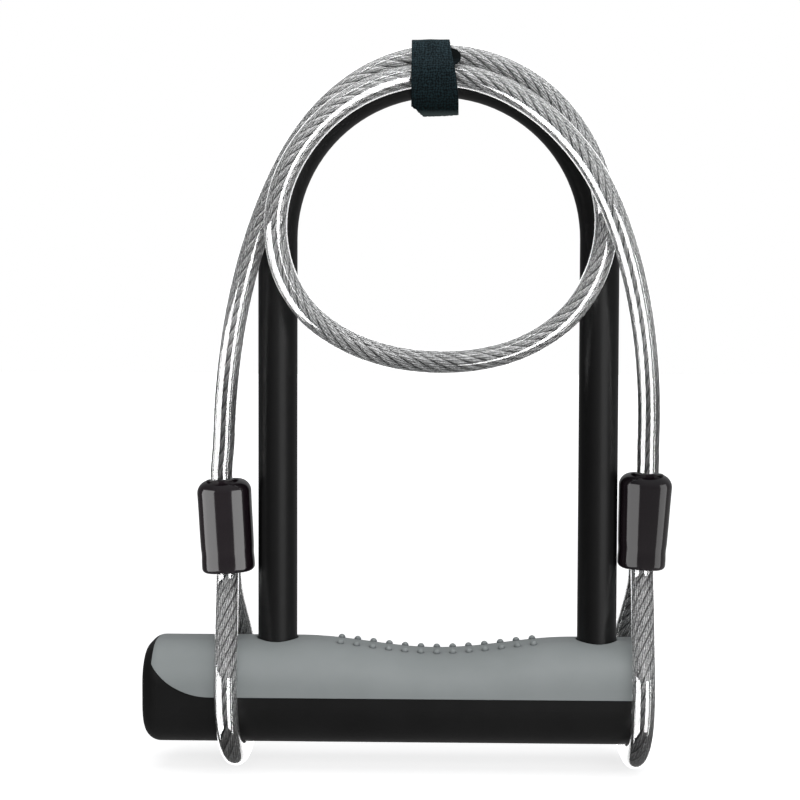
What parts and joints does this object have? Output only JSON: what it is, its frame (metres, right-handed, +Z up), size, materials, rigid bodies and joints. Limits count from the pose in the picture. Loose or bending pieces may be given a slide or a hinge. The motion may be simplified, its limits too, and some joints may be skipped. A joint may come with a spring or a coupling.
{
  "type": "u lock",
  "caption": "U lock with a vinyl-covered steel bow, a two-colour crossbar with a scooped grip, and a coiled clear-covered steel cable looped round both ends of the crossbar.",
  "frame": {"origin": "on the crossbar's underside, in the mid-plane between the two shackle legs", "axes": "+X along the crossbar towards its plain end, -X towards the key end; +Y to the rear; +Z up along the shackle legs"},
  "size_m": [0.1941, 0.0544, 0.2651],
  "materials": {
    "tube_steel": "zinc plated, dull",
    "cover_black": "fine moulded texture",
    "cover_grey": "soft-touch satin",
    "seal_rubber": "matt",
    "brass": "turned",
    "bright_steel": "bright",
    "bearing_plastic": "natural acetal",
    "rope_steel": "stranded galvanised wire",
    "clear_vinyl": "clear glossy vinyl",
    "ferrule_metal": "pressed",
    "boot_gloss": "polished moulding",
    "shutter_metal": "black coated",
    "bow_steel": "hardened, plated",
    "sleeve_vinyl": "satin vinyl",
    "strap_fabric": "woven hook-and-loop tape"
  },
  "bodies": {
    "crossbar": {"crossbar_tube": "tube_steel", "body_cover": "cover_black", "grip_cover": "cover_grey", "end_cap": "cover_black", "leg_seal_left": "seal_rubber", "leg_seal_right": "seal_rubber", "cylinder_housing": "brass", "cylinder_pin": "bright_steel", "driver_pins": "brass", "driver_springs": "bright_steel", "shaft_bearing_left": "bearing_plastic", "shaft_bearing_right": "bearing_plastic", "end_plug": "tube_steel", "end_plug_pin": "bright_steel", "shutter_rivet": "bright_steel", "cable_rope_left": "rope_steel", "cable_rope_right": "rope_steel", "cable_sheath_eye_left": "clear_vinyl", "cable_sheath_eye_right": "clear_vinyl", "cable_sheath_drop_left": "clear_vinyl", "cable_sheath_drop_right": "clear_vinyl", "ferrule_left": "ferrule_metal", "ferrule_right": "ferrule_metal", "boot_left": "boot_gloss", "boot_right": "boot_gloss"},
    "lock_core": {"key_plug": "brass", "key_pins": "brass", "plug_clip": "bright_steel", "locking_shaft": "tube_steel"},
    "shutter": {"keyhole_shutter": "shutter_metal"},
    "shackle": {"shackle_bow": "bow_steel", "shackle_sleeve": "sleeve_vinyl", "strap": "strap_fabric", "cable_rope_coil": "rope_steel", "cable_sheath_coil": "clear_vinyl"}
  },
  "joints": [
    {"name": "shackle_slide", "type": "slide", "parent": "crossbar", "child": "shackle", "axis": [0, 0, 1], "range_m": [0, 0.05]},
    {"name": "key_turn", "type": "hinge", "parent": "crossbar", "child": "lock_core", "pos_m": [0, 0.0036, 0.019], "axis": [-1, 0, 0], "range_deg": [0, 90]},
    {"name": "shutter_swing", "type": "hinge", "parent": "crossbar", "child": "shutter", "pos_m": [-0.1062, -0.0006, 0.0264], "axis": [-1, 0, 0], "range_deg": [0, 59]}
  ]
}
